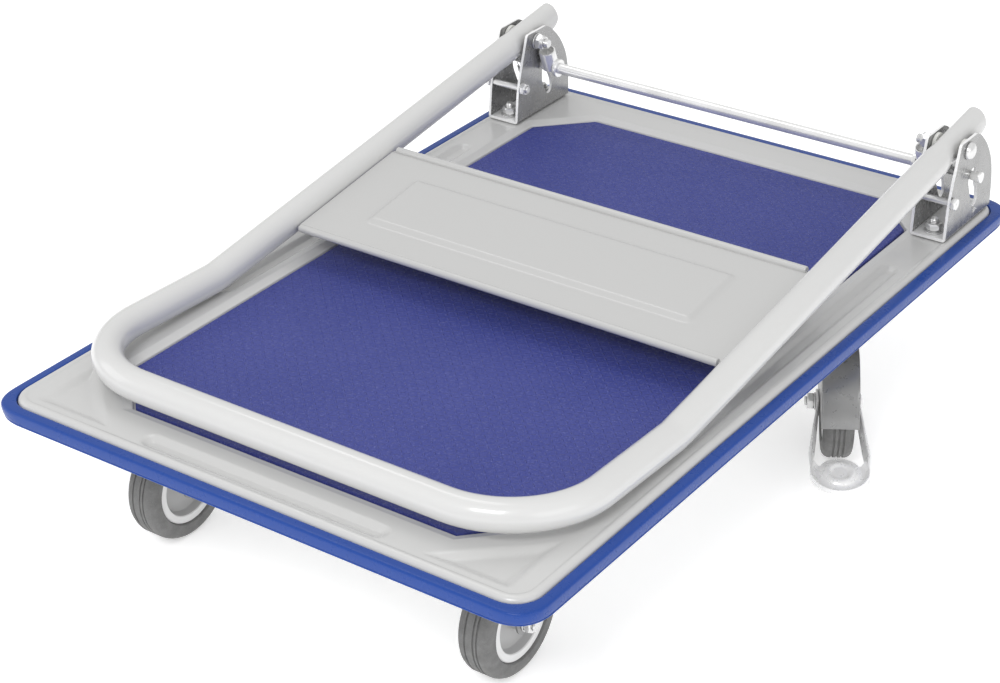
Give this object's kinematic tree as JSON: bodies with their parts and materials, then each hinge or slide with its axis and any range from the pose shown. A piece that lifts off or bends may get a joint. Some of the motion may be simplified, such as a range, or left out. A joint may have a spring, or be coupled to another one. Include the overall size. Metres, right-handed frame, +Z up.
{
  "type": "folding platform cart",
  "caption": "Flat platform hand truck with a padded deck, corner-to-corner edge bumper, tubular handle that folds onto the deck, rigid front casters and braked swivel rear casters.",
  "frame": {"origin": "On the floor, under the centre of the deck's plan.", "axes": "+Z up; +Y towards the hinge brackets and the swivel casters, -Y towards the cart's rigid casters and the folded grip; +X to the right of someone who looks along +Y."},
  "size_m": [0.5532, 0.74, 0.2352],
  "materials": {
    "deck_paint": "gloss",
    "handle_paint": "gloss",
    "mat": "textured matte",
    "bumper": "satin",
    "zinc": "zinc plated",
    "tyre": "matte",
    "rim": "satin",
    "nylon": "satin"
  },
  "bodies": {
    "chassis": {"deck_pan": "deck_paint", "deck_mat": "mat", "bumper": "bumper", "bracket_L": "zinc", "pivot_bolt_L": "zinc", "pivot_nut_L": "zinc", "stop_bolt_L": "zinc", "stop_nut_L": "zinc", "lock_spring_L": "zinc", "web_bolt_L1": "zinc", "web_nut_L1": "zinc", "web_bolt_L2": "zinc", "web_nut_L2": "zinc", "pivot_spacer_in_L": "nylon", "pivot_spacer_out_L": "nylon", "rigid_fork_L": "zinc", "axle_bolt_FL": "zinc", "axle_nut_FL": "zinc", "swivel_plate_L": "zinc", "bracket_R": "zinc", "pivot_bolt_R": "zinc", "pivot_nut_R": "zinc", "stop_bolt_R": "zinc", "stop_nut_R": "zinc", "lock_spring_R": "zinc", "web_bolt_R1": "zinc", "web_nut_R1": "zinc", "web_bolt_R2": "zinc", "web_nut_R2": "zinc", "pivot_spacer_in_R": "nylon", "pivot_spacer_out_R": "nylon", "rigid_fork_R": "zinc", "axle_bolt_FR": "zinc", "axle_nut_FR": "zinc", "swivel_plate_R": "zinc"},
    "handle": {"handle_tube": "handle_paint", "handle_panel": "handle_paint"},
    "lock_bar_body": {"lock_bar": "zinc"},
    "swivel_L": {"swivel_fork_L": "zinc", "axle_bolt_RL": "zinc", "axle_nut_RL": "zinc"},
    "front_wheel_L": {"tyre_FL": "tyre", "wheel_rim_FL": "rim"},
    "rear_wheel_L": {"tyre_RL": "tyre", "wheel_rim_RL": "rim"},
    "pedal_L": {"brake_pedal_L": "zinc"},
    "swivel_R": {"swivel_fork_R": "zinc", "axle_bolt_RR": "zinc", "axle_nut_RR": "zinc"},
    "front_wheel_R": {"tyre_FR": "tyre", "wheel_rim_FR": "rim"},
    "rear_wheel_R": {"tyre_RR": "tyre", "wheel_rim_RR": "rim"},
    "pedal_R": {"brake_pedal_R": "zinc"}
  },
  "joints": [
    {"name": "handle_fold", "type": "hinge", "parent": "chassis", "child": "handle", "pos_m": [0, 0.2975, 0.2155], "axis": [-1, 0, 0], "range_deg": [0, 100]},
    {"name": "lock_slide", "type": "slide", "parent": "chassis", "child": "lock_bar_body", "axis": [0, 0.3321, -0.9432], "range_m": [0, 0.0281], "deforming": ["lock_spring_L", "lock_spring_R"]},
    {"name": "swivel_turn_L", "type": "hinge", "parent": "chassis", "child": "swivel_L", "pos_m": [-0.1934, 0.1632, 0.11], "axis": [0, 0, 1], "continuous": true},
    {"name": "rear_wheel_spin_L", "type": "hinge", "parent": "swivel_L", "child": "rear_wheel_L", "pos_m": [-0.214, 0.12891, 0.0465], "axis": [0.8572, -0.515, 0], "continuous": true},
    {"name": "brake_press_L", "type": "hinge", "parent": "swivel_L", "child": "pedal_L", "pos_m": [-0.214, 0.12891, 0.0465], "axis": [0.8572, -0.515, 0], "range_deg": [0, 8]},
    {"name": "front_wheel_spin_L", "type": "hinge", "parent": "chassis", "child": "front_wheel_L", "pos_m": [-0.16, -0.2667, 0.0465], "axis": [1, 0, 0], "continuous": true},
    {"name": "swivel_turn_R", "type": "hinge", "parent": "chassis", "child": "swivel_R", "pos_m": [0.1934, 0.1632, 0.11], "axis": [0, 0, 1], "continuous": true},
    {"name": "rear_wheel_spin_R", "type": "hinge", "parent": "swivel_R", "child": "rear_wheel_R", "pos_m": [0.214, 0.12891, 0.0465], "axis": [0.8572, 0.515, 0], "continuous": true},
    {"name": "brake_press_R", "type": "hinge", "parent": "swivel_R", "child": "pedal_R", "pos_m": [0.214, 0.12891, 0.0465], "axis": [0.8572, 0.515, 0], "range_deg": [0, 8]},
    {"name": "front_wheel_spin_R", "type": "hinge", "parent": "chassis", "child": "front_wheel_R", "pos_m": [0.16, -0.2667, 0.0465], "axis": [1, 0, 0], "continuous": true}
  ],
  "couplings": [
    {"joint": "lock_slide", "follows": "handle_fold", "m_per_rad": 0.016043}
  ]
}
